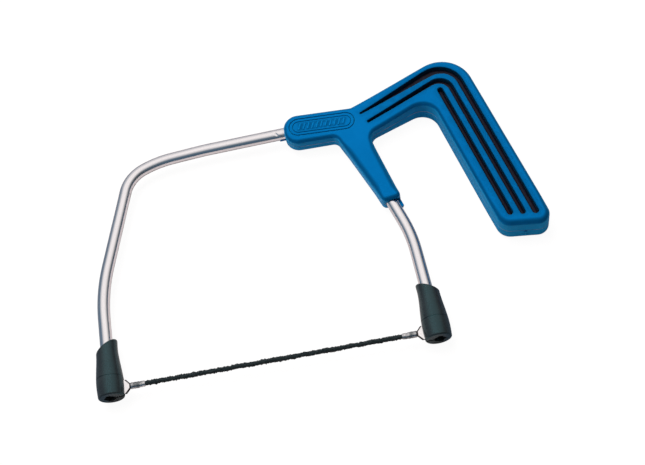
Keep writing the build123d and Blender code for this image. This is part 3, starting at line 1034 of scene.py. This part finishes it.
def barrel(name, side):
    """Lathed sleeve whose surface carries crimp dents and hammer marks."""
    places, radii = zip(*BARREL)
    angles = np.arange(40) * 2 * math.pi / 40
    stations = np.unique(np.r_[places, np.arange(11.35, 18.0, 0.2)])
    rows = []
    for x, radius in zip(stations, np.interp(stations, places, radii)):
        rough = np.full(len(angles), radius)
        if 11.3 < x < 18.1:
            for centre, width, depth in CRIMPS:
                around = 0.35 + 0.65 * np.abs(np.sin(angles * 1.5 + centre))
                rough = rough - depth * math.exp(-((x - centre) / width) ** 2) * around
            fade = min(1.0, (x - 11.3) / 0.5, (18.1 - x) / 0.5)
            rough = rough + fade * np.array([
                noise.noise(Vector((x * 1.7 + side * 20, radius * math.cos(t) * 1.7,
                                    radius * math.sin(t) * 1.7))) * 0.13 for t in angles])
        rows.append(np.c_[np.full(len(angles), side * (PIN_X - x)),
                          rough * np.cos(angles), rough * np.sin(angles)])
    return lofted(name, rows)


def tab(side, eye_radius):
    """Flat tab with a softened outline and an eye around the pin."""
    nose = [(side * (PIN_X + NOSE_RADIUS * math.sin(t)), NOSE_RADIUS * math.cos(t))
            for t in np.linspace(math.radians(20), math.radians(160), 13)]
    outline = np.array([(side * (PIN_X - x), y) for x, y in TAB_SIDE] + nose
                       + [(side * (PIN_X - x), -y) for x, y in TAB_SIDE[::-1]])
    if doubled_area(outline) < 0:
        outline = outline[::-1]
    ahead = np.roll(outline, -1, axis=0) - outline
    ahead /= np.linalg.norm(ahead, axis=1)[:, None]
    tangent = ahead + np.roll(ahead, 1, axis=0)
    inward = np.c_[-tangent[:, 1], tangent[:, 0]]
    inward /= np.linalg.norm(inward, axis=1)[:, None]
    eye = np.array(circle(eye_radius, 32, x=side * PIN_X))
    spokes = (eye - np.array((side * PIN_X, 0))) / eye_radius

    build = MeshBuilder()
    borders, eyes = [], []
    for inset, widening, z in TAB_LAYERS:
        borders.append(build.ring(outline + inward * inset, z))
        eyes.append(build.ring(eye + spokes * widening, z))
    build.loft(borders)
    build.loft(eyes, flip=True)
    build.fill(borders[0], [eyes[0]], flip=True)
    build.fill(borders[-1], [eyes[-1]])
    return build.object("tab")


def build_fitting(side, name, node, eye_radius):
    """Tab and crimped barrel of one blade end; side is the sign of its x."""
    fitting = barrel(name, side)
    boolean(fitting, tab(side, eye_radius), "UNION")
    # blind bore over the blade's end
    boolean(fitting, prism("bore", circle(1.17, 32), origin=(side * (PIN_X - 19.0), 0, 0),
                           across=(0, 1, 0), up=(0, 0, 1), along=(side, 0, 0), length=3.1))
    finish_piece(fitting, "blade", "plated_fitting", node, angle=35)


build_shells()
build_core()
build_rod()
build_wire()
build_fitting(-1, "front_blade_end", "front_blade_fitting", eye_radius=1.05)
build_fitting(1, "rear_blade_end", "rear_blade_fitting", eye_radius=1.01)
for node_name in ("front_end_cap", "rear_end_cap", "front_blade_pin", "rear_blade_pin"):
    smooth(frame["nodes"][node_name], angle=30)


# -------------------------------------------------------- floor, light and camera
def paper():
    """Pale paper that looks nearly white to the camera and is clear from below."""
    mat = Material("paper")
    mat.surface({"Base Color": (0.60, 0.545, 0.545), "Roughness": 0.9, "Specular IOR Level": 0.0})
    glow = mat.add("ShaderNodeEmission", Color=(1, 1, 1), Strength=1.10).outputs[0]
    rays = mat.add("ShaderNodeLightPath").outputs
    below = mat.add("ShaderNodeNewGeometry").outputs["Backfacing"]
    seen = mat.mix_shaders(mat.principled.outputs[0], glow,
                           amount=mat.math("MULTIPLY", rays["Is Camera Ray"], 0.86))
    # in reflections, the table is bluer and darker outside a rounded box around the saw
    half_x, half_y, middle_y = 0.0845, 0.125, 0.035
    x, y, _ = mat.axes(mat.coords())
    share_x = mat.math("ABSOLUTE", mat.math("DIVIDE", x, half_x))
    power_x = mat.math("POWER", share_x, 4.0)
    offset_y = mat.math("SUBTRACT", y, middle_y)
    share_y = mat.math("ABSOLUTE", mat.math("DIVIDE", offset_y, half_y))
    power_y = mat.math("POWER", share_y, 4.0)
    outside = mat.remap(mat.math("ADD", power_x, power_y), (0.95, 1.15), to=(0.0, 0.84))
    shade = mat.add("ShaderNodeEmission", Color=(0.085, 0.15, 0.22), Strength=1.0).outputs[0]
    seen = mat.mix_shaders(seen, shade,
                           amount=mat.math("MULTIPLY", rays["Is Glossy Ray"], outside))
    clear = mat.add("ShaderNodeBsdfTransparent").outputs[0]
    sides = mat.mix_shaders(seen, clear, amount=below)
    mat.feed(mat.tree.nodes["Material Output"].inputs["Surface"], sides)
    return mat.material


def build_floor():
    """A wide sheet that touches the underside of the grip."""
    half, z = 3, -GRIP_HALF * MM
    mesh = bpy.data.meshes.new("floor")
    mesh.from_pydata([(-half, -half, z), (half, -half, z), (half, half, z), (-half, half, z)],
                     [], [(0, 1, 2, 3)])
    floor = bpy.data.objects.new("floor", mesh)
    scene.collection.objects.link(floor)
    mesh.materials.append(paper())


def area_light(name, location, size, power):
    """Rectangular lamp aimed at the saw and hidden from reflections."""
    light = bpy.data.lights.new(name, "AREA")
    light.shape = "RECTANGLE"
    light.size, light.size_y = size
    light.energy = power
    lamp = bpy.data.objects.new(name, light)
    lamp.location = location
    lamp.rotation_mode = "QUATERNION"
    aim = Vector((0, 0.05, 0)) - Vector(location)
    lamp.rotation_quaternion = aim.to_track_quat("-Z", "Y")
    lamp.visible_glossy = False
    scene.collection.objects.link(lamp)


# (position, grey level) of the reflected lamp, by how nearly a ray points at it
LAMP_GLOW = ((0.05, 0), (0.30, 0.04), (0.46, 0.09), (0.55, 0.20), (0.65, 0.42), (0.76, 0.64),
             (0.87, 0.86), (0.95, 1))


def build_world():
    """Even soft sky for shading; reflections see a bright ceiling over a dark horizon."""
    world = bpy.data.worlds.new("studio")
    scene.world = world
    world.use_nodes = True
    sky = Nodes(world.node_tree)
    x, y, z = sky.axes(sky.add("ShaderNodeTexCoord").outputs["Generated"])
    # the horizon is paler on the left (-X)
    horizon = sky.mix((0.085, 0.16, 0.24), over=(0.046, 0.070, 0.088),
                      amount=sky.remap(x, (-0.45, 0.55)))
    lamp = Vector((0.07, 0.43, 0.89)).normalized()
    aim = sky.math("ADD", sky.math("MULTIPLY", x, lamp.x), sky.math("MULTIPLY", y, lamp.y))
    aim = sky.math("ADD", aim, sky.math("MULTIPLY", z, lamp.z))
    ceiling = sky.ramp(aim, *[(position, (grey,) * 3) for position, grey in LAMP_GLOW])
    backdrop = sky.remap(y, (0.62, 0.90), to=(0.0, 0.62))
    mirrored = sky.mix(horizon, over=(1.08, 1.045, 1.04),
                       amount=sky.math("MAXIMUM", ceiling, backdrop))
    height = sky.math("ADD", z, sky.math("MULTIPLY", y, 0.25))
    soft = sky.ramp(height, (0.0, (0.09, 0.095, 0.10)), (0.8, (0.26, 0.26, 0.26)))
    glossy = sky.add("ShaderNodeLightPath").outputs["Is Glossy Ray"]
    background = world.node_tree.nodes["Background"]
    sky.feed(background.inputs["Color"], sky.mix(soft, over=mirrored, amount=glossy))
    sky.feed(background.inputs["Strength"], 1.0)


def build_camera():
    data = bpy.data.cameras.new("camera")
    data.sensor_fit = "HORIZONTAL"
    data.sensor_width = 36.0
    data.lens = 70.1023
    data.clip_start = 0.01
    data.clip_end = 20
    camera = bpy.data.objects.new("camera", data)
    right = (0.98223005, -0.14367171, -0.12075833)
    up = (0.18258399, 0.88041938, 0.43763546)
    backward = (0.04344214, -0.45190724, 0.89100652)
    location = (0.06191386, -0.2265565, 0.57283519)
    camera.matrix_world = Matrix([*zip(right, up, backward, location), (0, 0, 0, 1)])
    scene.collection.objects.link(camera)
    scene.camera = camera


build_floor()
area_light("key", location=(-0.18, 0.44, 1.02), size=(0.8, 0.8), power=14.2)
area_light("fill", location=(-0.9, -0.1, 0.12), size=(0.4, 0.3), power=1.3)
build_world()
build_camera()
